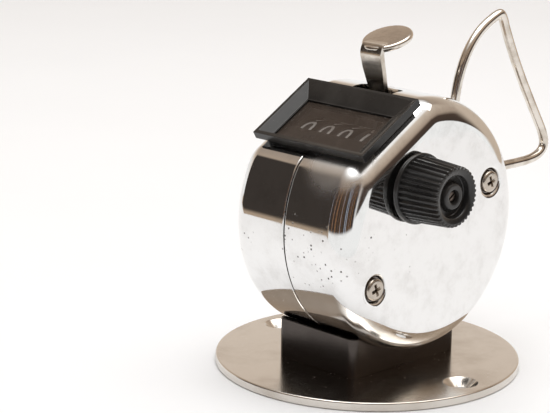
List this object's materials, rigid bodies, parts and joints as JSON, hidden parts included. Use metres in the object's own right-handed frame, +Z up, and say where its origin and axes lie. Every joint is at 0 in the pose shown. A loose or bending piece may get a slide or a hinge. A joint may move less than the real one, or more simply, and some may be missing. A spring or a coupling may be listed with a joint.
{
  "type": "hand tally counter",
  "caption": "Drum-shaped metal tally counter on a round base plate, with a thumb lever, a reset knob, a window over number wheels and a wire finger ring.",
  "frame": {"origin": "centre of the base plate's underside", "axes": "+Z up, +X along the number wheels towards the reset knob, -Y towards the reader in front of the window"},
  "size_m": [0.055, 0.0762, 0.0614],
  "materials": {
    "chrome_case": "polished chrome plate",
    "satin_base": "satin polished steel",
    "dark_saddle": "dark polished steel",
    "nickel_steel": "bright nickel plate",
    "black_plastic": "semi-gloss moulded black",
    "clear_lens": "clear moulded lens",
    "zinc_frame": "zinc plated stamping",
    "turned_steel": "turned steel",
    "spring_steel": "spring steel",
    "bush_brass": "turned brass",
    "wheel_plastic": "matt black moulding with white figures"
  },
  "bodies": {
    "case": {"base_plate": "satin_base", "pedestal": "dark_saddle", "base_screws": "nickel_steel", "saddle_rivets": "nickel_steel", "left_cover": "chrome_case", "right_cover": "chrome_case", "threaded_posts": "nickel_steel", "cover_screws": "nickel_steel", "window_bezel": "black_plastic", "window_lens": "clear_lens", "left_frame_plate": "zinc_frame", "right_frame_plate": "zinc_frame", "frame_pillars": "zinc_frame", "left_bushing": "bush_brass", "right_bushing": "bush_brass", "lever_pivot_pin": "turned_steel", "lever_return_spring": "spring_steel", "detent_spring": "spring_steel", "finger_ring": "nickel_steel"},
    "reset_shaft": {"wheel_shaft": "turned_steel", "shaft_clip": "spring_steel", "reset_knob": "black_plastic", "knob_screw": "nickel_steel"},
    "lever": {"count_lever": "nickel_steel", "pawl_pin": "turned_steel"},
    "pawl": {"drive_pawl": "zinc_frame"},
    "units_wheel": {"number_wheel_units": "wheel_plastic", "reset_pawl_units": "zinc_frame"},
    "tens_wheel": {"number_wheel_tens": "wheel_plastic", "reset_pawl_tens": "zinc_frame"},
    "hundreds_wheel": {"number_wheel_hundreds": "wheel_plastic", "reset_pawl_hundreds": "zinc_frame"},
    "thousands_wheel": {"number_wheel_thousands": "wheel_plastic", "reset_pawl_thousands": "zinc_frame"}
  },
  "joints": [
    {"name": "lever_press", "type": "hinge", "parent": "case", "child": "lever", "pos_m": [0.00125, 0.0146, 0.04], "axis": [1, 0, 0], "range_deg": [0, 10], "stiffness_Nm_per_rad": 0.2, "springref_deg": -8.59, "deforming": ["lever_return_spring"]},
    {"name": "pawl_swing", "type": "hinge", "parent": "lever", "child": "pawl", "pos_m": [0.00125, 0.0032, 0.0469], "axis": [1, 0, 0], "range_deg": [-2.5, 0]},
    {"name": "units_turn", "type": "hinge", "parent": "case", "child": "units_wheel", "pos_m": [0, -0.00592, 0.03601], "axis": [1, 0, 0], "range_deg": [-36, 0]},
    {"name": "knob_spin", "type": "hinge", "parent": "case", "child": "reset_shaft", "pos_m": [0, -0.00592, 0.03601], "axis": [1, 0, 0], "continuous": true},
    {"name": "tens_turn", "type": "hinge", "parent": "case", "child": "tens_wheel", "pos_m": [0, -0.00592, 0.03601], "axis": [1, 0, 0], "continuous": true},
    {"name": "hundreds_turn", "type": "hinge", "parent": "case", "child": "hundreds_wheel", "pos_m": [0, -0.00592, 0.03601], "axis": [1, 0, 0], "continuous": true},
    {"name": "thousands_turn", "type": "hinge", "parent": "case", "child": "thousands_wheel", "pos_m": [0, -0.00592, 0.03601], "axis": [1, 0, 0], "continuous": true}
  ],
  "couplings": [
    {"joint": "pawl_swing", "follows": "lever_press", "ratio": -0.25},
    {"joint": "units_turn", "follows": "lever_press", "ratio": -3.6},
    {"joint": "tens_turn", "follows": "knob_spin", "ratio": 1},
    {"joint": "hundreds_turn", "follows": "knob_spin", "ratio": 1},
    {"joint": "thousands_turn", "follows": "knob_spin", "ratio": 1}
  ]
}
